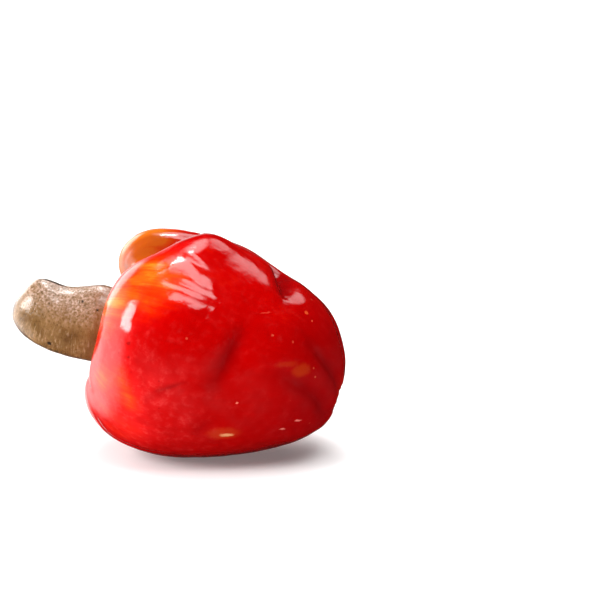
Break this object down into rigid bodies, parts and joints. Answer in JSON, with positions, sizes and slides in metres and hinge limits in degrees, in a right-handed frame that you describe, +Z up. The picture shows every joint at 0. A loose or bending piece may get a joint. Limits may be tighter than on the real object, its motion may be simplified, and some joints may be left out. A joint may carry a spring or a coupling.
{
  "type": "cashew apple with its nut",
  "caption": "Ripe cashew apple lying on its side: a lobed, pear-shaped fleshy stalk with a glossy red and orange skin, and a kidney-shaped nut in its grey-brown shell on the end",
  "frame": {"origin": "on the surface that the fruit lies on, under the middle of its bounding box", "axes": "+Z up; +X from the nut to the stem's end, nearly along the fruit's length; -Y towards the side with the large smooth lobe, which the picture shows"},
  "size_m": [0.1007, 0.0688, 0.068],
  "materials": {
    "apple_skin": "glossy waxy skin, red with orange shoulders",
    "nut_shell": "satin leathery shell, grey-brown"
  },
  "bodies": {
    "root": {"cashew_apple": "apple_skin", "cashew_nut": "nut_shell"}
  },
  "joints": []
}
